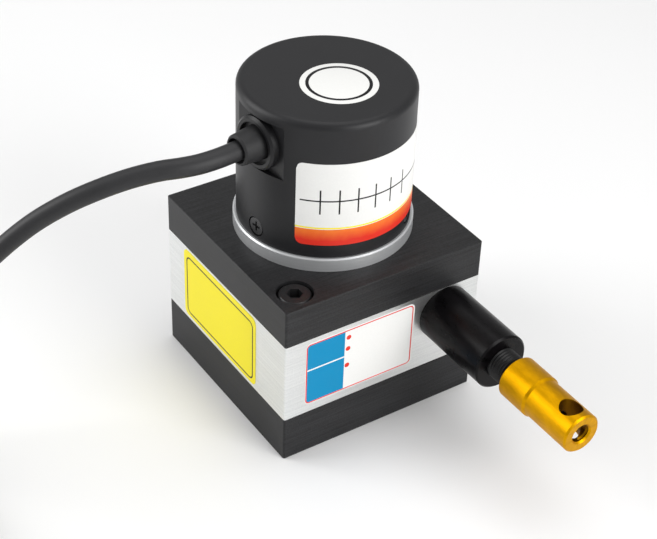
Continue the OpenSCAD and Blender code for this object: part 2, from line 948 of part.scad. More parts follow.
// Outer shape of the two wound layers
module cable_coil() {
  bevel = cable_r * 0.6;
  color([0.10, 0.10, 0.11])
    translate([coil_centre.x, coil_centre.y, coil_base])
      rotate_extrude()
        polygon([[coil_inner_r + bevel, 0], [coil_outer_r - bevel, 0], [coil_outer_r, bevel],
          [coil_outer_r, coil_height - bevel], [coil_outer_r - bevel, coil_height],
          [coil_inner_r + bevel, coil_height], [coil_inner_r, coil_height - bevel],
          [coil_inner_r, bevel]]);
}

module cable_tail() {
  color([0.10, 0.10, 0.11])
    swept_tube(tail_route, cable_r, tube_sides);
}

// Flat strap round the coil's section, with its lock on top
module cable_tie() {
  strap = coil_base;
  width = 2.6;
  slack = 0.1;
  outer_length = coil_outer_r - coil_inner_r + 2 * (strap + slack);
  color([0.12, 0.12, 0.12])
    translate([coil_centre.x, coil_centre.y, 0])
      rotate([0, 0, tie_angle])
        translate([coil_inner_r - strap - slack, -width / 2, 0])
          union() {
            difference() {
              cube([outer_length, width, coil_height + 2 * strap]);
              translate([strap, -cut, strap])
                cube([outer_length - 2 * strap, width + 2 * cut, coil_height]);
            }
            translate([outer_length / 2, -0.8, coil_height + 2 * strap])
              cube([4.5, width + 1.6, 3]);
          }
}

// Stripped leads at the cable's far end, fanned out flat
module lead_ends() {
  start = tail_route[len(tail_route) - 1];
  back = tail_route[len(tail_route) - 2];
  along = atan2(start.y - back.y, start.x - back.x);
  color([0.80, 0.45, 0.15])
    translate([start.x, start.y, 0])
      rotate([0, 0, along])
        hull() {
          translate([0, 0, cable_r + coil_base])
            rotate([0, 90, 0])
              cylinder(h = 0.1, r = cable_r, $fn = 12);
          translate([lead_length, -7, 0.1])
            cube([0.1, 14, 1.4]);
        }
}

base_plate();
spring_stud();
power_spring();
spring_arbor();
main_shaft();
lower_bearing();
upper_bearing();
drum();
shaft_grub_screw();
wire_winding();
drum_housing();
cover_plate();
cover_screws();
base_screws();
outlet_nozzle();
guide_bush();
wire_guide();
wire_wiper();
wire();
wire_ferrule();
pull_head();
head_grub_screw();
encoder_flange();
flange_screws();
encoder_bearings();
encoder_shaft();
code_disc();
reader_block();
board_posts();
circuit_board();
board_screws();
inner_leads();
can_seal();
encoder_can();
can_screws();
cable_gland();
gland_nut();
cable_sleeve();
cable();
cable_coil();
cable_tail();
cable_tie();
lead_ends();
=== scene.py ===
import bpy
import math
from mathutils import Matrix, Vector


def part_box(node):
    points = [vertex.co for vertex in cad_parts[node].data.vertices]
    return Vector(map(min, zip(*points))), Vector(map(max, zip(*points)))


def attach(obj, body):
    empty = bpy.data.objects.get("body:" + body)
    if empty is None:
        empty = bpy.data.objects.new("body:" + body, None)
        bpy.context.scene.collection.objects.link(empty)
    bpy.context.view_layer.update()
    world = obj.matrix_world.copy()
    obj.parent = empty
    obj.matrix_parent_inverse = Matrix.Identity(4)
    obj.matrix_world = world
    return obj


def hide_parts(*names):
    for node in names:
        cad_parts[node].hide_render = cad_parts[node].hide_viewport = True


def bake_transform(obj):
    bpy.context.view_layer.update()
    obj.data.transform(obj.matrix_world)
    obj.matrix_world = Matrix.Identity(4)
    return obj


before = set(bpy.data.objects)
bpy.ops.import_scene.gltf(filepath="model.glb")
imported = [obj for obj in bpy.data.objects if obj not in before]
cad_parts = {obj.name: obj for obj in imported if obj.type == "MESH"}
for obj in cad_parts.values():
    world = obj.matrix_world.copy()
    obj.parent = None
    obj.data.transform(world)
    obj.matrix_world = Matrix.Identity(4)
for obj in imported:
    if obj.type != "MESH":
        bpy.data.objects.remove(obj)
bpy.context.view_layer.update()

mm = 0.001
drumPitch = 0.1 / (2 * math.pi)          # the wire leaves the drum this far off its axis
outletZ = 0.0243
exitTurn = math.radians(-82)             # the way the cable leaves the can
exitZ = 0.0667
exitWay = Vector((math.cos(exitTurn), math.sin(exitTurn), 0))

# camera and light

cameraSet = {"place": (0.24195, -0.16421, 0.24369), "turn": (53.285, -1.794, 56.838), "lens": 89.15}
bpy.ops.object.camera_add(location=cameraSet["place"], rotation=[math.radians(a) for a in cameraSet["turn"]])
camera = bpy.context.object
camera.name = "camera"
camera.data.lens = cameraSet["lens"]
camera.data.sensor_width = 36
camera.data.clip_start = 0.01
bpy.context.scene.camera = camera

lamps = {
    "topSoftbox": {"place": (-0.05, 0.10, 0.55), "aim": (0, 0, 0.04), "size": (0.5, 0.4), "power": 0.95},
    "leftSoftbox": {"place": (-0.35, -0.45, 0.30), "aim": (0, 0, 0.03), "size": (0.35, 0.5), "power": 2.35},
    "rightSoftbox": {"place": (0.50, 0.15, 0.25), "aim": (0.02, 0, 0.03), "size": (0.3, 0.4), "power": 2.05},
}
for lampName, lamp in lamps.items():
    aim = Vector(lamp["aim"]) - Vector(lamp["place"])
    bpy.ops.object.light_add(type="AREA", location=lamp["place"])
    light = bpy.context.object
    light.name = lampName
    light.rotation_euler = aim.to_track_quat("-Z", "Y").to_euler()
    light.data.shape = "RECTANGLE"
    light.data.size, light.data.size_y = lamp["size"]
    light.data.energy = lamp["power"]

world = bpy.data.worlds.new("studio")
bpy.context.scene.world = world
world.use_nodes = True
world.node_tree.nodes["Background"].inputs["Color"].default_value = (1, 1, 1, 1)
world.node_tree.nodes["Background"].inputs["Strength"].default_value = 0.5
bpy.context.scene.view_settings.view_transform = "Standard"
print("camera and light")


# shader maths

class Signal:
    # one socket; expressions on it add Math nodes
    def __init__(self, finish, socket):
        self.finish = finish
        self.socket = socket

    def calc(self, operation, *others):
        values = dict(enumerate((self,) + others))
        return self.finish.node("ShaderNodeMath", {"operation": operation}, values)

    def between(self):
        # held between 0 and 1
        return self.calc("MAXIMUM", 0.0).calc("MINIMUM", 1.0)

    def __add__(self, other):
        return self.calc("ADD", other)

    def __sub__(self, other):
        return self.calc("SUBTRACT", other)

    def __rsub__(self, other):
        return self * -1.0 + other

    def __mul__(self, other):
        return self.calc("MULTIPLY", other)

    def __truediv__(self, other):
        return self.calc("DIVIDE", other)

    def __rtruediv__(self, other):
        return self.finish.node("ShaderNodeMath", {"operation": "DIVIDE"}, {0: other, 1: self})

    def __gt__(self, other):
        return self.calc("GREATER_THAN", other)

    def __lt__(self, other):
        return self.calc("LESS_THAN", other)

    def __abs__(self):
        return self.calc("ABSOLUTE")

    __radd__ = __add__
    __rmul__ = __mul__


class Finish:
    # one material, with its place in millimetres ready as x, y and z
    def __init__(self, name):
        self.material = bpy.data.materials.new(name)
        self.material.use_nodes = True
        self.tree = self.material.node_tree
        self.tree.nodes.clear()
        place = self.node("ShaderNodeTexCoord", {}, {}, "Object")
        self.place = self.node("ShaderNodeVectorMath", {"operation": "SCALE"},
                               {"Vector": place, "Scale": 1000})
        apart = self.node("ShaderNodeSeparateXYZ", {}, {"Vector": self.place})
        self.x, self.y, self.z = (Signal(self, apart.socket.node.outputs[i]) for i in range(3))

    def node(self, kind, settings, sockets, out=0):
        made = self.tree.nodes.new(kind)
        for key, value in settings.items():
            if key == "stops":
                ramp = made.color_ramp
                while len(ramp.elements) < len(value):
                    ramp.elements.new(0.5)
                for element, (position, colour) in zip(ramp.elements, value):
                    element.position = position
                    element.color = (*colour, 1)
            elif key == "interpolation":
                made.color_ramp.interpolation = value
            else:
                setattr(made, key, value)
        for key, value in sockets.items():
            if isinstance(value, Signal):
                self.tree.links.new(value.socket, made.inputs[key])
            else:
                made.inputs[key].default_value = value
        return Signal(self, made.outputs[out])

    def join(self, x, y, z):
        return self.node("ShaderNodeCombineXYZ", {}, {"X": x, "Y": y, "Z": z})

    def noise(self, place, scale, detail=2.0, roughness=0.5):
        return self.node("ShaderNodeTexNoise", {},
                         {"Vector": place, "Scale": scale, "Detail": detail, "Roughness": roughness})

    def steps(self, value, stops):
        return self.node("ShaderNodeValToRGB", {"stops": stops, "interpolation": "CONSTANT"}, {"Fac": value})

    def blendColours(self, factor, first, second):
        values = {0: factor, 6: first, 7: second}
        values = {k: (*v, 1) if isinstance(v, tuple) else v for k, v in values.items()}
        return self.node("ShaderNodeMix", {"data_type": "RGBA"}, values, 2)

    def facing(self):
        normal = self.node("ShaderNodeTexCoord", {}, {}, "Normal")
        apart = self.node("ShaderNodeSeparateXYZ", {}, {"Vector": normal}).socket.node
        return [Signal(self, apart.outputs[i]) for i in range(3)]

    def bump(self, height, depth):
        return self.node("ShaderNodeBump", {}, {"Height": height, "Distance": depth * mm, "Strength": 1.0})

    def close(self, **sockets):
        words = {"colour": "Base Color", "metal": "Metallic", "roughness": "Roughness", "normal": "Normal",
                 "coat": "Coat Weight", "coatRoughness": "Coat Roughness", "specular": "Specular IOR Level",
                 "alpha": "Alpha", "sheen": "Sheen Weight"}
        values = {words[k]: (*v, 1) if isinstance(v, tuple) else v for k, v in sockets.items()}
        shader = self.node("ShaderNodeBsdfPrincipled", {}, values)
        output = self.tree.nodes.new("ShaderNodeOutputMaterial")
        self.tree.links.new(shader.socket, output.inputs["Surface"])
        return self.material


# place along, away from and round one of the object's three turning axes
def turnedPlace(finish, axis):
    if axis == "outlet":
        along, across, up = finish.x, finish.y - drumPitch / mm, finish.z - outletZ / mm
    elif axis == "exit":
        along = finish.x * exitWay.x + finish.y * exitWay.y
        across, up = finish.x * -exitWay.y + finish.y * exitWay.x, finish.z - exitZ / mm
    else:
        along, across, up = finish.z, finish.x, finish.y
    away = (across * across + up * up).calc("SQRT")
    return along, away, across.calc("ARCTAN2", up)


# finishes

def turnedMetal(name, look):
    f = Finish(name)
    along, away, turn = turnedPlace(f, look["axis"])
    ring = (along + away) * look.get("rings", 9)
    fine = f.noise(f.join(ring, 0.0, 0.0), 1.0, 3.0, 0.7)
    broad = f.noise(f.place, 0.12, 3.0)
    mixed = fine * 0.55 + broad * 0.35
    if "streaks" in look:
        # painted reflections: light and dark streaks along the piece, set by the angle round its axis
        streakReflections = f.noise(f.join(turn * look["streaks"], along * 0.25, away * 0.25), 1.0, 3.0, 0.65)
        fine = fine * 0.45 + streakReflections * 0.55
        mixed = (streakReflections - 0.5) * 1.8 + 0.5
    colour = f.blendColours(mixed.between(), look["dark"], look["light"])
    # painted shade: the walls of the bore and cross hole are coloured darker than the outside
    if "bore" in look:
        inside = (away < look["bore"][0]) * (along < look["bore"][1])
        colour = f.blendColours(inside, colour, look["boreColour"])
    return f.close(colour=colour, metal=look.get("metal", 1.0),
                   roughness=fine * look.get("spread", 0.12) + look["roughness"],
                   normal=f.bump(fine, look.get("depth", 0.004)), specular=look.get("specular", 0.5))


def brushedBlock(name, look):
    # the sides are brushed level, the top and bottom along Y
    f = Finish(name)
    up = abs(f.facing()[2]) > 0.7
    slow, fast = 0.07, 3.2
    sides = f.noise(f.join(f.x * slow, f.y * slow, f.z * fast), 1.0, 4.0, 0.65)
    flats = f.noise(f.join(f.x * fast, f.y * slow, f.z * slow), 1.0, 4.0, 0.65)
    brush = sides + up * (flats - sides)
    speck = f.noise(f.place, 2.6, 2.0, 0.6)
    patch = f.noise(f.place, 0.06, 3.0)
    mixed = brush * look["brush"] + speck * look["speck"] + patch * 0.2
    scratch = (mixed - 0.5) * look["contrast"] + 0.5
    colour = f.blendColours(scratch.between(), look["dark"], look["light"])
    if "seams" in look:
        # painted shade: the narrow chamfers against the plates below and above are coloured near black
        low, high = look["seams"]
        colour = f.blendColours((f.z < low) + (f.z > high), colour, look["seamColour"])
    return f.close(colour=colour, metal=look["metal"], roughness=mixed * look["spread"] + look["roughness"],
                   normal=f.bump(brush + speck * 0.5, look["depth"]), specular=look["specular"])


def mouldedPlastic(name, look):
    f = Finish(name)
    grain = f.noise(f.place, look.get("grain", 6.0), 3.0, 0.6)
    patch = f.noise(f.place, 0.15, 2.0)
    colour = f.blendColours(grain * 0.5 + patch * 0.5, look["dark"], look["light"])
    return f.close(colour=colour, metal=0.0, roughness=grain * 0.12 + look["roughness"],
                   normal=f.bump(grain, look.get("depth", 0.008)), coat=look.get("coat", 0.0),
                   coatRoughness=0.08, specular=look.get("specular", 0.4))


def strandedWire(name, look):
    # strands of the wound wire lie aslant across each turn; painted shade darkens the grooves between them
    # and painted highlight lightens their crowns
    f = Finish(name)
    angle = f.y.calc("ARCTAN2", f.x)
    slant = (angle * look["drumRadius"] + f.z * look["lean"]) * look["strands"]
    twist = slant.calc("SINE") * 0.5 + 0.5
    colour = f.blendColours(twist, look["dark"], look["light"])
    return f.close(colour=colour, metal=1.0, roughness=0.32 - twist * 0.1, normal=f.bump(twist, 0.05))


def springSteel(name, look):
    f = Finish(name)
    streak = f.noise(f.join(f.x * 0.2, f.y * 0.2, f.z * 8.0), 1.0, 3.0, 0.6)
    tint = f.noise(f.place, 0.08, 2.0)
    colour = f.blendColours(streak * 0.5 + tint * 0.5, look["dark"], look["light"])
    return f.close(colour=colour, metal=1.0, roughness=streak * 0.15 + look["roughness"],
                   normal=f.bump(streak, 0.004))


def felt(name, look):
    f = Finish(name)
    fibre = f.noise(f.place, 9.0, 5.0, 0.75)
    return f.close(colour=f.blendColours(fibre, look["dark"], look["light"]), roughness=0.95, sheen=0.4,
                   normal=f.bump(fibre, 0.08))


def codeGlass(name, look):
    # a ring of fine radial lines and a dark hub on clear glass
    f = Finish(name)
    away = (f.x * f.x + f.y * f.y).calc("SQRT")
    angle = f.y.calc("ARCTAN2", f.x)
    line = (angle * look["lines"]).calc("SINE") > 0.0
    track = (away > look["track"][0]) * (away < look["track"][1])
    mask = line * track + (away < look["hub"])
    dust = f.noise(f.place, 3.0)
    colour = f.blendColours(mask.calc("MINIMUM", 1.0), look["clear"], look["dark"])
    return f.close(colour=colour, roughness=dust * 0.05 + 0.04, alpha=mask * 0.6 + 0.35, metal=0.0)


def solderResist(name, look):
    # tracks under green resist; what stands above the board is a chip, a can or the terminal strip
    f = Finish(name)
    wavy = f.noise(f.place, 0.9, 1.0)
    route = (wavy * 14.0).calc("SINE") > 0.55
    raised = f.z > look["top"]
    tracks = f.blendColours(route, look["resist"], look["track"])
    colour = f.blendColours(raised, tracks, look["chip"])
    return f.close(colour=colour, roughness=wavy * 0.1 + 0.25, normal=f.bump(route, 0.02))


def leadColours(name, look):
    # one colour of insulation for each lead, by its place across the cable's exit
    f = Finish(name)
    across = f.x * -exitWay.y + f.y * exitWay.x
    along = f.x * exitWay.x + f.y * exitWay.y
    spacing = look["spacing"] - (along - look["from"]) * look["narrows"]
    spread = (across / spacing + len(look["leads"]) / 2) / len(look["leads"])
    stops = [(i / len(look["leads"]), colour) for i, colour in enumerate(look["leads"])]
    fleck = f.noise(f.place, 4.0)
    return f.close(colour=f.steps(spread, stops), roughness=fleck * 0.1 + 0.35)


blackBlock = {"dark": (0.001, 0.001, 0.001), "light": (0.030, 0.030, 0.032), "metal": 0.1, "contrast": 3.0,
              "roughness": 0.30, "spread": 0.3, "brush": 0.5, "speck": 0.35, "specular": 0.31, "depth": 0.012}
# the housing's seam levels and seam colour are painted shade on its chamfers
bareBlock = {"dark": (0.60, 0.61, 0.61), "light": (0.86, 0.87, 0.86), "metal": 1.0, "contrast": 1.8,
             "roughness": 0.26, "spread": 0.2, "brush": 0.6, "speck": 0.35, "specular": 0.5, "depth": 0.006,
             "seams": (11.14, 30.86), "seamColour": (0.03, 0.03, 0.03)}
groundSteel = {"axis": "encoder", "dark": (0.42, 0.43, 0.45), "light": (0.72, 0.73, 0.75), "roughness": 0.22}
zincScrew = {"axis": "encoder", "dark": (0.30, 0.31, 0.32), "light": (0.62, 0.63, 0.64), "roughness": 0.30}
blackScrew = {"axis": "encoder", "dark": (0.012, 0.012, 0.013), "light": (0.07, 0.07, 0.072), "metal": 0.6,
              "roughness": 0.28}
wireSteel = {"dark": (0.20, 0.20, 0.21), "light": (0.66, 0.67, 0.68), "strands": 3.0, "drumRadius": 15.9,
             "lean": 1.6}
leadTints = [(0.75, 0.22, 0.02), (0.03, 0.08, 0.42), (0.70, 0.25, 0.32), (0.75, 0.60, 0.03),
             (0.02, 0.26, 0.07), (0.52, 0.02, 0.02), (0.012, 0.012, 0.012), (0.55, 0.55, 0.56)]

finishes = {
    "base_plate": (brushedBlock, dict(blackBlock, specular=0.23)),
    "cover_plate": (brushedBlock, blackBlock),
    "drum_housing": (brushedBlock, bareBlock),
    "encoder_flange": (turnedMetal, {"axis": "encoder", "dark": (0.42, 0.43, 0.44),
                                     "light": (0.80, 0.81, 0.82), "metal": 0.6, "roughness": 0.30,
                                     "spread": 0.2, "rings": 3}),
    "encoder_can": (turnedMetal, {"axis": "encoder", "dark": (0.006, 0.006, 0.007),
                                  "light": (0.018, 0.018, 0.020), "metal": 0.1, "roughness": 0.36,
                                  "spread": 0.14, "rings": 5, "depth": 0.003, "specular": 0.37}),
    "outlet_nozzle": (turnedMetal, {"axis": "outlet", "dark": (0.001, 0.001, 0.001),
                                    "light": (0.006, 0.005, 0.006), "metal": 0.0, "specular": 0.12,
                                    "roughness": 0.18, "spread": 0.22, "rings": 5, "depth": 0.008,
                                    "streaks": 4.0}),
    "pull_head": (turnedMetal, {"axis": "outlet", "dark": (0.50, 0.24, 0.001), "light": (0.72, 0.365, 0.002),
                                "roughness": 0.37, "spread": 0.18, "rings": 7, "depth": 0.006, "streaks": 3.5,
                                # the bore limits and its colour paint shade inside the head's holes
                                "bore": (4.3, 71.05), "boreColour": (0.20, 0.09, 0.001)}),
    "guide_bush": (mouldedPlastic, {"dark": (0.004, 0.004, 0.004), "light": (0.012, 0.012, 0.013),
                                    "roughness": 0.36, "specular": 0.25}),
    "head_grub_screw": (turnedMetal, dict(blackScrew, axis="outlet")),
    "wire_ferrule": (turnedMetal, {"axis": "outlet", "dark": (0.50, 0.24, 0.12), "light": (0.85, 0.48, 0.28),
                                   "roughness": 0.28}),
    "wire_guide": (mouldedPlastic, {"dark": (0.70, 0.68, 0.62), "light": (0.86, 0.85, 0.80),
                                    "roughness": 0.12, "coat": 0.5}),
    "wire_wiper": (felt, {"dark": (0.24, 0.22, 0.19), "light": (0.52, 0.49, 0.43)}),
    "wire": (strandedWire, wireSteel),
    "wire_winding": (strandedWire, wireSteel),
    "drum": (turnedMetal, {"axis": "encoder", "dark": (0.52, 0.53, 0.54), "light": (0.84, 0.85, 0.86),
                           "roughness": 0.24, "rings": 3}),
    "cover_screws": (turnedMetal, blackScrew),
    "base_screws": (turnedMetal, zincScrew),
    "flange_screws": (turnedMetal, zincScrew),
    "board_screws": (turnedMetal, zincScrew),
    "gland_nut": (turnedMetal, dict(zincScrew, axis="exit")),
    "can_screws": (turnedMetal, dict(blackScrew, light=(0.10, 0.10, 0.103), roughness=0.22)),
    "shaft_grub_screw": (turnedMetal, blackScrew),
    "main_shaft": (turnedMetal, groundSteel),
    "encoder_shaft": (turnedMetal, groundSteel),
    "spring_arbor": (turnedMetal, groundSteel),
    "spring_stud": (turnedMetal, groundSteel),
    "lower_bearing": (turnedMetal, groundSteel),
    "upper_bearing": (turnedMetal, groundSteel),
    "encoder_bearings": (turnedMetal, groundSteel),
    "power_spring": (springSteel, {"dark": (0.10, 0.11, 0.16), "light": (0.36, 0.38, 0.44),
                                   "roughness": 0.25}),
    "board_posts": (turnedMetal, {"axis": "encoder", "dark": (0.55, 0.40, 0.14), "light": (0.88, 0.70, 0.32),
                                  "roughness": 0.22}),
    "code_disc": (codeGlass, {"lines": 250, "track": (8.3, 10.4), "hub": 6.2, "clear": (0.75, 0.82, 0.80),
                              "dark": (0.02, 0.02, 0.022)}),
    "reader_block": (mouldedPlastic, {"dark": (0.010, 0.010, 0.011), "light": (0.03, 0.03, 0.032),
                                      "roughness": 0.42}),
    "circuit_board": (solderResist, {"top": 61.0, "resist": (0.008, 0.075, 0.03),
                                     "track": (0.02, 0.16, 0.06), "chip": (0.015, 0.015, 0.016)}),
    "inner_leads": (leadColours, {"leads": leadTints, "spacing": 1.2, "from": 6.5, "narrows": 0.142}),
    "can_seal": (mouldedPlastic, {"dark": (0.008, 0.008, 0.008), "light": (0.02, 0.02, 0.02),
                                  "roughness": 0.6}),
    "cable_gland": (mouldedPlastic, {"dark": (0.003, 0.003, 0.004), "light": (0.014, 0.014, 0.015),
                                     "roughness": 0.3, "specular": 0.3}),
    "cable_sleeve": (mouldedPlastic, {"dark": (0.007, 0.007, 0.008), "light": (0.02, 0.02, 0.021),
                                      "roughness": 0.5, "grain": 3.0, "depth": 0.02}),
    "cable": (mouldedPlastic, {"dark": (0.010, 0.010, 0.011), "light": (0.028, 0.028, 0.030),
                               "roughness": 0.44, "grain": 2.2, "depth": 0.02}),
    "cable_tie": (mouldedPlastic, {"dark": (0.010, 0.010, 0.010), "light": (0.03, 0.03, 0.03),
                                   "roughness": 0.35}),
}
materials = {}
for node, (recipe, look) in finishes.items():
    materials[node] = recipe(node + "Finish", look)
    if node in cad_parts:
        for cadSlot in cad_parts[node].material_slots:
            cadSlot.material = materials[node]
print("finishes on", len(materials), "nodes")


# making pieces

def deselectAll():
    if bpy.context.object and bpy.context.object.mode != "OBJECT":
        bpy.ops.object.mode_set(mode="OBJECT")
    bpy.ops.object.select_all(action="DESELECT")


def started(name, finish):
    piece = bpy.context.object
    piece.name = piece.data.name = name
    piece.data.materials.clear()
    piece.data.materials.append(finish)
    return piece


def only(piece):
    deselectAll()
    piece.select_set(True)
    bpy.context.view_layer.objects.active = piece


def settle(piece):
    # puts the object's place into its mesh
    only(piece)
    bpy.ops.object.transform_apply(location=True, rotation=True, scale=True)


def moved(piece, matrix):
    piece.matrix_world = matrix @ piece.matrix_world
    bpy.context.view_layer.update()
    settle(piece)


def modified(piece, kind, **values):
    only(piece)
    modifier = piece.modifiers.new(kind.lower(), kind)
    for key, value in values.items():
        setattr(modifier, key, value)
    bpy.ops.object.modifier_apply(modifier=modifier.name)


def chooseAll(piece, mode):
    # selects every vertex, edge or face in edit mode
    only(piece)
    bpy.ops.object.mode_set(mode="EDIT")
    bpy.ops.mesh.select_mode(type=mode)
    bpy.ops.mesh.select_all(action="SELECT")


def chooseFaces(piece, wanted):
    # selects faces in edit mode by a test on their middle and normal
    chooseAll(piece, "FACE")
    bpy.ops.mesh.select_all(action="DESELECT")
    bpy.ops.object.mode_set(mode="OBJECT")
    for face in piece.data.polygons:
        face.select = wanted(face.center / mm, face.normal)
    bpy.ops.object.mode_set(mode="EDIT")


def outwards(piece):
    chooseAll(piece, "VERT")
    bpy.ops.mesh.remove_doubles(threshold=0.002 * mm)
    bpy.ops.mesh.normals_make_consistent(inside=False)
    bpy.ops.object.mode_set(mode="OBJECT")


def smoothed(piece, degrees=30):
    only(piece)
    bpy.ops.object.shade_smooth_by_angle(angle=math.radians(degrees))


def joined(pieces, name):
    deselectAll()
    for piece in pieces:
        piece.select_set(True)
    bpy.context.view_layer.objects.active = pieces[0]
    bpy.ops.object.join()
    pieces[0].name = pieces[0].data.name = name
    return pieces[0]


def rideOn(piece, body, replaced=()):
    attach(piece, body)
    if replaced:
        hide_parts(*replaced)


# cable

cableSet = {
    "diameter": 4.2,
    "route": [(1.7, -12.4, 66.7), (2.1, -14.9, 66.7), (2.8, -19.8, 66.7), (3.5, -24.8, 66.7),
              (3.9, -28.8, 66.7), (3.7, -32.8, 66.6), (2.8, -36.7, 66.5), (1.3, -40.6, 66.2),
              (-0.6, -46.1, 65.2), (-2.9, -52, 63.2), (-5.5, -57.9, 60.3), (-8.3, -63.8, 56.2),
              (-11, -69.6, 50.8), (-13.8, -75.6, 44), (-16.4, -81.4, 36.4), (-18.7, -86.5, 28.9),
              (-20.7, -91.2, 21.8), (-22.6, -95.6, 15.8), (-24.5, -99.6, 11.2), (-26.6, -103.4, 8.2),
              (-28.9, -107.2, 6.9)],
    "tail": [(8, -156.9, 2.7), (13.9, -155.6, 2.7), (19.8, -154.2, 2.7), (25.6, -152.8, 2.7)],
    "coilCentre": (0.35, -124.1),
    "coilStart": 150,
    "coilTurns": 4.06,
    "coilMiddle": 25.2,
    "layers": (6.9, 2.7),
    "stepsPerTurn": 30,
    "step": 1.5,
}


def coilPoints(cable):
    # wound inwards on the upper layer, down at the inner turn, outwards on the lower one
    diameter, turns, perTurn = cable["diameter"], cable["coilTurns"], cable["stepsPerTurn"]
    outer = cable["coilMiddle"] + diameter * turns / 2
    inner = cable["coilMiddle"] - diameter * turns / 2
    dropTurns = 0.25
    total = 2 * turns + dropTurns
    steps = round(total * perTurn)
    points = []
    for i in range(1, steps):
        done = total * i / steps
        fall = min(max((done - turns) / dropTurns, 0), 1)
        fall = fall * fall * (3 - 2 * fall)
        height = cable["layers"][0] + (cable["layers"][1] - cable["layers"][0]) * fall
        wound = min(done, turns) - max(done - turns - dropTurns, 0)
        radius = outer + (inner - outer) * wound / turns
        angle = math.radians(cable["coilStart"] + 360 * done)
        points.append((cable["coilCentre"][0] + radius * math.cos(angle),
                       cable["coilCentre"][1] + radius * math.sin(angle), height))
    return points


def smoothPath(points, step):
    # Catmull-Rom line through the points, about one point for each step
    knots = [2 * Vector(points[0]) - Vector(points[1])] + [Vector(p) for p in points]
    knots.append(2 * knots[-1] - knots[-2])
    line = []
    for a, b, c, d in zip(knots, knots[1:], knots[2:], knots[3:]):
        count = max(1, round((c - b).length / step))
        for i in range(count):
            t = i / count
            line.append(0.5 * (2 * b + (c - a) * t + (2 * a - 5 * b + 4 * c - d) * t * t
                               + (3 * b - 3 * c + d - a) * t * t * t))
    return line + [knots[-2]]


def pathLength(line):
    return sum((b - a).length for a, b in zip(line, line[1:]))


def tubeAlong(name, line, radius, finish, sides):
    # a curve with a round section, made a mesh
    curve = bpy.data.curves.new(name, "CURVE")
    curve.dimensions = "3D"
    spline = curve.splines.new("POLY")
    spline.points.add(len(line) - 1)
    for point, place in zip(spline.points, line):
        point.co = (*(Vector(place) * mm), 1)
    curve.bevel_depth = radius * mm
    curve.bevel_resolution = sides
    curve.use_fill_caps = True
    piece = bpy.data.objects.new(name, curve)
    bpy.context.scene.collection.objects.link(piece)
    only(piece)
    bpy.ops.object.convert(target="MESH")
    piece = started(name, finish)
    smoothed(piece, 50)
    return piece


coilLine = coilPoints(cableSet)
cableLine = smoothPath(cableSet["route"] + coilLine + cableSet["tail"], cableSet["step"])
cablePiece = tubeAlong("signalCable", cableLine, cableSet["diameter"] / 2, materials["cable"], sides=5)
print("cable", round(pathLength(cableLine)), "mm")


# far end of the cable

leadSet = {"length": 30, "fan": 6.2, "radius": 0.5, "core": 0.24, "strip": 5, "floor": 0.55,
           "rootSpread": 1.1, "rootRise": (0.5, 0.4), "hidden": 1.0, "middleAt": (0.35, 0.55),
           "middleLevel": 1.0, "arch": 0.3, "droop": 0.15, "tucked": 0.5}


def plainFinish(name, colour, roughness, metal=0.0):
    f = Finish(name)
    grains = f.noise(f.place, 5.0, 3.0, 0.6)
    dark = tuple(c * 0.8 for c in colour)
    return f.close(colour=f.blendColours(grains, dark, colour), metal=metal,
                   roughness=grains * 0.12 + roughness, normal=f.bump(grains, 0.01))


def makeLeads(cable, leads):
    tailEnd, tailBefore = Vector(cable["tail"][-1]), Vector(cable["tail"][-2])
    ahead = (tailEnd - tailBefore).normalized()
    sideways = Vector((-ahead.y, ahead.x, 0))
    tinned = plainFinish("tinnedCopper", (0.62, 0.62, 0.60), 0.3, 1.0)
    made = []
    for i, tint in enumerate(leadTints):
        share = i / (len(leadTints) - 1) * 2 - 1
        rise = Vector((0, 0, leads["rootRise"][0] - abs(share) * leads["rootRise"][1]))
        start = tailEnd - ahead * leads["hidden"] + sideways * share * leads["rootSpread"] + rise
        onward, outward = leads["middleAt"]
        middle = tailEnd + ahead * leads["length"] * onward + sideways * share * leads["fan"] * outward
        middle.z = leads["middleLevel"]
        end = tailEnd + ahead * (leads["length"] - leads["strip"]) + sideways * share * leads["fan"]
        end.z = leads["floor"]
        tip = end + (end - middle).normalized() * leads["strip"]
        tip.z = leads["floor"] - leads["droop"]
        arched = (start + middle) / 2 + Vector((0, 0, leads["arch"]))
        line = smoothPath([start, arched, middle, end], step=1.0)
        insulation = plainFinish("leadInsulation%d" % i, tint, 0.32)
        made.append(tubeAlong("lead%d" % i, line, leads["radius"], insulation, sides=3))
        bareLine = [end - ahead * leads["tucked"], end, tip]
        made.append(tubeAlong("leadCore%d" % i, bareLine, leads["core"], tinned, sides=2))
    return joined(made, "strippedLeads")


leadsPiece = makeLeads(cableSet, leadSet)
rideOn(leadsPiece, "sensor", ["lead_ends"])

tieSet = {"angle": 220, "width": 2.6, "thick": 0.6, "corner": 1.6, "slack": 0.1, "lock": (4.4, 4.2, 2.8),
          "lockWall": 0.9, "lockWeb": 0.55, "lockEdge": 0.25, "tongue": 7, "tongueThick": 0.78,
          "tongueEdge": 0.15}


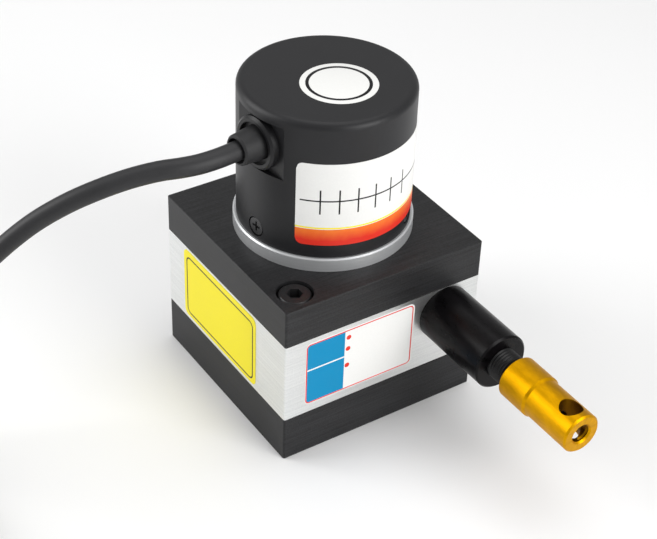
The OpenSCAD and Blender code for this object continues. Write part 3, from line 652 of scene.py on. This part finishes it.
def makeTie(cable, tie):
    # a strap bent round the coil's section, with its lock and cut tongue on top
    diameter, turns = cable["diameter"], cable["coilTurns"]
    halfSpan = diameter * turns / 2 + diameter / 2 + tie["slack"] + tie["thick"] / 2
    low, high = tie["thick"] / 2, 2 * diameter + tie["thick"] * 1.5
    bpy.ops.mesh.primitive_plane_add(size=1, location=(0, 0, 0))
    strap = started("coilTie", materials["cable_tie"])
    strap.scale = (2 * halfSpan * mm, (high - low) * mm, 1)
    strap.rotation_euler = (math.radians(90), 0, 0)
    strap.location = (0, 0, (low + high) / 2 * mm)
    settle(strap)
    chooseAll(strap, "FACE")
    bpy.ops.mesh.delete(type="ONLY_FACE")
    chooseAll(strap, "VERT")
    bpy.ops.mesh.bevel(offset=tie["corner"] * mm, segments=5, affect="VERTICES")
    chooseAll(strap, "EDGE")
    bpy.ops.mesh.extrude_edges_move(TRANSFORM_OT_translate={"value": (0, tie["width"] * mm, 0)})
    bpy.ops.object.mode_set(mode="OBJECT")
    outwards(strap)
    modified(strap, "SOLIDIFY", thickness=tie["thick"] * mm, offset=0)
    outwards(strap)
    length, width, height = tie["lock"]
    lockMiddle = Vector((length / 2, tie["width"] / 2, high + tie["thick"] / 2 + height / 2)) * mm
    bpy.ops.mesh.primitive_cube_add(size=1, location=(0, 0, 0))
    lock = started("lock", materials["cable_tie"])
    lock.scale = (length * mm, width * mm, height * mm)
    lock.location = lockMiddle
    settle(lock)
    chooseFaces(lock, lambda middle, normal: abs(normal.x) > 0.9)
    bpy.ops.mesh.inset(thickness=tie["lockWall"] * mm)
    bpy.ops.mesh.extrude_region_move(TRANSFORM_OT_translate={"value": (0, 0, 0)})
    bpy.ops.transform.resize(value=(tie["lockWeb"], 1, 1), center_override=lockMiddle)
    bpy.ops.object.mode_set(mode="OBJECT")
    modified(lock, "BEVEL", width=tie["lockEdge"] * mm, segments=2, limit_method="ANGLE")
    bpy.ops.mesh.primitive_cube_add(size=1, location=(0, 0, 0))
    tongue = started("tongue", materials["cable_tie"])
    tongue.scale = (tie["tongue"] * mm, tie["width"] * mm, tie["tongueThick"] * mm)
    tongue.location = lockMiddle + Vector((tie["tongue"] / 2 * mm, 0, 0))
    settle(tongue)
    modified(tongue, "BEVEL", width=tie["tongueEdge"] * mm, segments=1)
    whole = joined([strap, lock, tongue], "coilTie")
    turn = Matrix.Rotation(math.radians(tie["angle"]), 4, "Z")
    centre = Vector((*cable["coilCentre"], 0)) * mm
    out = Matrix.Translation((cable["coilMiddle"] * mm, -tie["width"] / 2 * mm, 0))
    moved(whole, Matrix.Translation(centre) @ turn @ out)
    smoothed(whole, 35)
    return whole


tiePiece = makeTie(cableSet, tieSet)
rideOn(tiePiece, "sensor", ["cable_tie"])
rideOn(cablePiece, "sensor", ["cable", "cable_coil", "cable_tail"])
round(pathLength(cableLine) * mm, 3)
[tuple(p * mm) for p in cableLine]
print("cable's end, tie and leads")


# threads

def threadRidge(name, radius, height, pitch, low, high, finish, steps):
    # a three-sided ridge swept up a helix between two levels; a negative height points it inwards
    half = pitch * 0.44  # half the ridge's foot
    turns = (high - low - 2 * half) / pitch
    bpy.ops.mesh.primitive_circle_add(vertices=3, radius=mm, fill_type="NOTHING", location=(0, 0, 0))
    ridge = started(name, finish)
    corners = [(radius + height, low + half), (radius, low + 2 * half), (radius, low)]
    for vertex, (away, up) in zip(ridge.data.vertices, corners):
        vertex.co = (away * mm, 0, up * mm)
    rounds = round(steps * turns)
    modified(ridge, "SCREW", axis="Z", angle=2 * math.pi * turns, screw_offset=pitch * turns * mm,
             iterations=1, steps=rounds, render_steps=rounds, use_smooth_shade=False)
    chooseAll(ridge, "EDGE")
    bpy.ops.mesh.fill_holes(sides=3)
    bpy.ops.object.mode_set(mode="OBJECT")
    outwards(ridge)
    return ridge


outletTurn = Matrix.Translation((0, drumPitch, outletZ)) @ Matrix.Rotation(math.radians(90), 4, "Y")

bushLow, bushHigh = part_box("guide_bush")
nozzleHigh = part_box("outlet_nozzle")[1]
bushSet = {
    "radius": (bushHigh.z - bushLow.z) / 2 / mm,
    "back": bushLow.x / mm,
    "mouth": nozzleHigh.x / mm,
    "front": bushHigh.x / mm,
    "pitch": 0.75,
    "threadDepth": 0.32,
    "bore": 1.2,
    "seat": 1.7,
    "seatDepth": 2.0,
    "seatEdge": 0.15,
    "wiperSeat": (2.4, 3.5),
    "plainTo": 1.5,
    "reliefTo": 1.2,
    "frontChamfer": (0.3, 0.25),
    "threadEnds": (1.3, 0.35),
}


def turnedPiece(name, outline, finish, segments=96):
    # a closed outline of (radius, height) turned about Z
    bpy.ops.mesh.primitive_circle_add(vertices=len(outline), radius=mm, fill_type="NOTHING",
                                      location=(0, 0, 0))
    piece = started(name, finish)
    for vertex, (away, up) in zip(piece.data.vertices, outline):
        vertex.co = (away * mm, 0, up * mm)
    chooseAll(piece, "VERT")
    bpy.ops.mesh.spin(steps=segments, angle=2 * math.pi, center=(0, 0, 0), axis=(0, 0, 1))
    bpy.ops.object.mode_set(mode="OBJECT")
    outwards(piece)
    return piece


def makeBush(bush):
    core = bush["radius"] - bush["threadDepth"]
    back, mouth, front = bush["back"], bush["mouth"], bush["front"]
    wiperRadius, wiperLength = bush["wiperSeat"]
    inwards, backwards = bush["frontChamfer"]
    outline = [(wiperRadius, back), (bush["radius"], back), (bush["radius"], mouth - bush["plainTo"]),
               (core, mouth - bush["reliefTo"]), (core, front - backwards), (core - inwards, front),
               (bush["seat"] + bush["seatEdge"], front), (bush["seat"], front - bush["seatEdge"]),
               (bush["seat"], front - bush["seatDepth"]),
               (bush["bore"], front - bush["seatDepth"]), (bush["bore"], back + wiperLength),
               (wiperRadius, back + wiperLength)]
    body = turnedPiece("bushBody", outline, materials["guide_bush"])
    sunk = 0.02  # the ridge's foot lies this far inside the body
    ridge = threadRidge("bushThread", core - sunk, bush["threadDepth"] + sunk, bush["pitch"],
                        mouth - bush["threadEnds"][0], front - bush["threadEnds"][1],
                        materials["guide_bush"], steps=48)
    whole = joined([body, ridge], "guideBush")
    moved(whole, outletTurn)
    smoothed(whole, 32)
    return whole


bushPiece = makeBush(bushSet)
rideOn(bushPiece, "sensor", ["guide_bush"])

headLow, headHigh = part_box("pull_head")
# the thread starts where the cross hole no longer cuts the wall
headThreadSet = {"radius": 2.12, "height": -0.3, "pitch": 0.8, "from": headHigh.x / mm - 1.5,
                 "to": headHigh.x / mm - 0.35}
headThread = threadRidge("headThread", headThreadSet["radius"], headThreadSet["height"],
                         headThreadSet["pitch"], headThreadSet["from"], headThreadSet["to"],
                         materials["pull_head"], steps=36)
moved(headThread, outletTurn)
smoothed(headThread, 32)
rideOn(headThread, "head")

baseThreadSet = {"radius": 1.66, "height": -0.25, "pitch": 0.7, "mouth": 0.35, "depth": 7.4,
                 "spots": (12, 20)}


def makeBaseThreads(thread):
    made = []
    first = threadRidge("baseThread", thread["radius"], thread["height"], thread["pitch"], thread["mouth"],
                        thread["depth"], materials["base_plate"], steps=28)
    for x in (-1, 1):
        for y in (-1, 1):
            only(first)
            bpy.ops.object.duplicate()
            copied = bpy.context.object
            moved(copied, Matrix.Translation((x * thread["spots"][0] * mm, y * thread["spots"][1] * mm, 0)))
            made.append(copied)
    bpy.data.objects.remove(first)
    return joined(made, "baseThreads")


rideOn(makeBaseThreads(baseThreadSet), "sensor")
print("threads")


# wire

wireLow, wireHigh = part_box("wire")
wireSet = {"strands": 6, "radius": (wireHigh.z - wireLow.z) / 2 / mm, "from": wireLow.x / mm,
           "to": wireHigh.x / mm, "lay": 7.0, "rings": 90}


def makeWire(wire):
    # six strands laid round a seventh
    strand = wire["radius"] / 3
    levels = [wire["from"] + (wire["to"] - wire["from"]) * i / wire["rings"]
              for i in range(wire["rings"] + 1)]
    lines = [[(0, 0, z) for z in levels]]
    for k in range(wire["strands"]):
        line = []
        for z in levels:
            angle = 2 * math.pi * (k / wire["strands"] + z / wire["lay"])
            line.append((2 * strand * math.cos(angle), 2 * strand * math.sin(angle), z))
        lines.append(line)
    parts = [tubeAlong("strand%d" % k, line, strand, materials["wire"], sides=2)
             for k, line in enumerate(lines)]
    whole = joined(parts, "measuringWire")
    moved(whole, outletTurn)
    return whole


wirePiece = makeWire(wireSet)
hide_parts("wire")
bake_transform(wirePiece)
print("wire")


# stickers

stickerThick = 0.08
paper = {"white": (0.84, 0.84, 0.82), "red": (0.72, 0.035, 0.02), "orange": (0.90, 0.24, 0.03),
         "yellow": (0.93, 0.80, 0.012), "blue": (0.001, 0.24, 0.47), "ink": (0.008, 0.008, 0.009)}


def inBox(u, v, low, high):
    return (u > low[0]) * (u < high[0]) * (v > low[1]) * (v < high[1])


def outlineAt(u, v, low, high, radius, width):
    # a thin line round a box with rounded corners
    middle = [(low[i] + high[i]) / 2 for i in (0, 1)]
    half = [(high[i] - low[i]) / 2 - radius for i in (0, 1)]
    across = (abs(u - middle[0]) - half[0]).calc("MAXIMUM", 0.0)
    along = (abs(v - middle[1]) - half[1]).calc("MAXIMUM", 0.0)
    away = (across * across + along * along).calc("SQRT") - radius
    return abs(away) < width / 2


def printed(f, layers, base):
    # each layer is a mask and the ink laid where it is 1
    fibre = f.noise(f.place, 2.5, 4.0, 0.6)
    colour = f.blendColours(fibre, tuple(c * 0.93 for c in base), base)
    for mask, ink in layers:
        colour = f.blendColours(mask, colour, ink)
    return f.close(colour=colour, roughness=fibre * 0.12 + 0.3, normal=f.bump(fibre, 0.004),
                   coat=0.03, coatRoughness=0.12, metal=0.0, specular=0.15)


def flatSticker(name, size, corner, place, turn, finish):
    bpy.ops.mesh.primitive_plane_add(size=1, location=(0, 0, 0))
    piece = started(name, finish)
    piece.scale = (size[0] * mm, size[1] * mm, 1)
    settle(piece)
    chooseAll(piece, "VERT")
    bpy.ops.mesh.bevel(offset=corner * mm, segments=6, affect="VERTICES")
    bpy.ops.object.mode_set(mode="OBJECT")
    modified(piece, "SOLIDIFY", thickness=stickerThick * mm, offset=1)
    outwards(piece)
    moved(piece, Matrix.Translation(Vector(place) * mm) @ turn)
    return piece


def borderOf(u, v, sticker):
    # the printed line, set in from the sticker's left, right, bottom and top edges
    left, right, bottom, top = sticker["inset"]
    low, high = sticker["low"], sticker["high"]
    return outlineAt(u, v, (low[0] + left, low[1] + bottom), (high[0] - right, high[1] - top),
                     sticker["lineCorner"], sticker["line"])


def sizeAndMiddle(sticker):
    sides = list(zip(sticker["low"], sticker["high"]))
    return [high - low for low, high in sides], [(high + low) / 2 for low, high in sides]


# white sticker on the +X side
frontSet = {"low": (-20.0, 13.3), "high": (7.8, 29.8), "corner": 1.2, "line": 0.28,
            "inset": (0.3, 0.5, 0.3, 0.4), "lineCorner": 0.9,
            "panel": ((-19.55, 13.75), (-10.2, 29.3)), "panelSplit": 22.4, "splitWidth": 0.35,
            "dots": ((-9.25, 27.5), (-9.35, 24.5), (-9.45, 20.0)), "dotRadius": 0.6}
housingLow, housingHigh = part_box("drum_housing")
f = Finish("frontStickerFilm")
u, v = f.y, f.z
layers = [(inBox(u, v, *frontSet["panel"]), paper["blue"]),
          (inBox(u, v, (frontSet["panel"][0][0], frontSet["panelSplit"]),
                 (frontSet["panel"][1][0], frontSet["panelSplit"] + frontSet["splitWidth"])), paper["white"]),
          (borderOf(u, v, frontSet), paper["red"])]
for spot in frontSet["dots"]:
    away = ((u - spot[0]) * (u - spot[0]) + (v - spot[1]) * (v - spot[1])).calc("SQRT")
    layers.append((away < frontSet["dotRadius"], paper["red"]))
frontFilm = printed(f, layers, paper["white"])
frontSize, frontMiddle = sizeAndMiddle(frontSet)
towardsX = Matrix(((0, 0, 1, 0), (1, 0, 0, 0), (0, 1, 0, 0), (0, 0, 0, 1)))
frontSticker = flatSticker("frontSticker", frontSize, frontSet["corner"],
                           (housingHigh.x / mm, *frontMiddle), towardsX, frontFilm)
rideOn(frontSticker, "sensor")

# yellow sticker on the -Y side
sideSet = {"low": (-17.7, 12.0), "high": (13.2, 30.2), "corner": 1.5, "line": 0.38,
           "inset": (1.3, 1.2, 1.1, 1.6), "lineCorner": 1.4}
f = Finish("sideStickerFilm")
sideFilm = printed(f, [(borderOf(f.x, f.z, sideSet), paper["ink"])], paper["yellow"])
sideSize, sideMiddle = sizeAndMiddle(sideSet)
towardsMinusY = Matrix(((1, 0, 0, 0), (0, 0, -1, 0), (0, 1, 0, 0), (0, 0, 0, 1)))
sideSticker = flatSticker("sideSticker", sideSize, sideSet["corner"],
                          (sideMiddle[0], housingLow.y / mm, sideMiddle[1]), towardsMinusY, sideFilm)
rideOn(sideSticker, "sensor")

# round sticker on the can's top
roundSet = {"middle": (3.4, 0.6), "radius": 8.2, "edge": 0.03, "ring": ((3.35, 0.6), 6.6, 0.72)}
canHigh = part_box("encoder_can")[1]
f = Finish("roundStickerFilm")
ringMiddle, ringRadius, ringWidth = roundSet["ring"]
dx, dy = f.x - ringMiddle[0], f.y - ringMiddle[1]
ringMask = abs((dx * dx + dy * dy).calc("SQRT") - ringRadius) < ringWidth / 2
roundFilm = printed(f, [(ringMask, paper["ink"])], paper["white"])
bpy.ops.mesh.primitive_cylinder_add(vertices=96, radius=roundSet["radius"] * mm, depth=stickerThick * mm,
                                    location=(roundSet["middle"][0] * mm, roundSet["middle"][1] * mm,
                                              canHigh.z + stickerThick / 2 * mm))
roundSticker = started("roundSticker", roundFilm)
settle(roundSticker)
modified(roundSticker, "BEVEL", width=roundSet["edge"] * mm, segments=2, limit_method="ANGLE")
smoothed(roundSticker)
rideOn(roundSticker, "sensor")

# sticker round the can's side
wrapSet = {"from": -51.5, "to": 68.5, "low": 46.1, "high": 66.0, "corner": 1.5, "band": 50.1,
           "bandLine": (50.25, 50.6), "row": 57.1, "ruled": 0.34, "columns": (-36, -24, -12, 0, 12, 24),
           "columnRange": (53.9, 59.8), "rowRange": (-48.8, 62.0), "canRadius": 19.0}


def wrappedFilm(wrap):
    f = Finish("wrapStickerFilm")
    turn = f.y.calc("ARCTAN2", f.x) * (180 / math.pi)
    # the band goes from red at its foot to orange
    shade = ((f.z - wrap["low"]) / (wrap["band"] - wrap["low"])) * 1.1 - 0.45 + f.noise(f.place, 0.5) * 0.3
    bandInk = f.blendColours(shade.between(), paper["red"], paper["orange"])
    halfLine = math.degrees(wrap["ruled"] / wrap["canRadius"] / 2)
    lines = [(f.z < wrap["band"], bandInk),
             (inBox(f.z, turn, (wrap["bandLine"][0], -90), (wrap["bandLine"][1], 90)), paper["yellow"]),
             (inBox(turn, f.z, (wrap["rowRange"][0], wrap["row"] - wrap["ruled"] / 2),
                    (wrap["rowRange"][1], wrap["row"] + wrap["ruled"] / 2)), paper["ink"])]
    for column in wrap["columns"]:
        low, high = wrap["columnRange"]
        lines.append((inBox(turn, f.z, (column - halfLine, low), (column + halfLine, high)), paper["ink"]))
    return printed(f, lines, paper["white"])


def makeWrapped(wrap):
    bpy.ops.mesh.primitive_cylinder_add(vertices=360, radius=wrap["canRadius"] * mm,
                                        depth=(wrap["high"] - wrap["low"]) * mm, end_fill_type="NOTHING",
                                        location=(0, 0, (wrap["low"] + wrap["high"]) / 2 * mm),
                                        rotation=(0, 0, math.radians(wrap["from"])))
    piece = started("wrapSticker", wrappedFilm(wrap))
    settle(piece)

    def outside(middle, normal):
        angle = math.degrees(math.atan2(middle.y, middle.x))
        return not wrap["from"] < angle < wrap["to"]
    chooseFaces(piece, outside)
    bpy.ops.mesh.delete(type="FACE")
    bpy.ops.object.mode_set(mode="OBJECT")
    # draws the end columns in to round the corners
    for vertex in piece.data.vertices:
        place = vertex.co / mm
        angle = math.degrees(math.atan2(place.y, place.x))
        inset = min(angle - wrap["from"], wrap["to"] - angle) * math.radians(wrap["canRadius"])
        if inset < wrap["corner"]:
            rise = wrap["corner"] - math.sqrt(max(wrap["corner"] ** 2 - (wrap["corner"] - inset) ** 2, 0))
            middle = (wrap["low"] + wrap["high"]) / 2
            vertex.co.z += (rise if place.z < middle else -rise) * mm
    modified(piece, "SOLIDIFY", thickness=stickerThick * mm, offset=1)
    outwards(piece)
    smoothed(piece, 40)
    return piece


wrapSticker = makeWrapped(wrapSet)
rideOn(wrapSticker, "sensor")
print("stickers")


# floor

floorSet = {"size": 4, "level": -0.00005}
bpy.ops.mesh.primitive_plane_add(size=floorSet["size"], location=(0, 0, floorSet["level"]))
f = Finish("paleFloor")
cloud = f.noise(f.place, 0.004, 2.0)
floorFinish = f.close(colour=f.blendColours(cloud, (0.86, 0.86, 0.86), (0.90, 0.90, 0.90)),
                      roughness=cloud * 0.1 + 0.6, metal=0.0)
floor = started("floor", floorFinish)
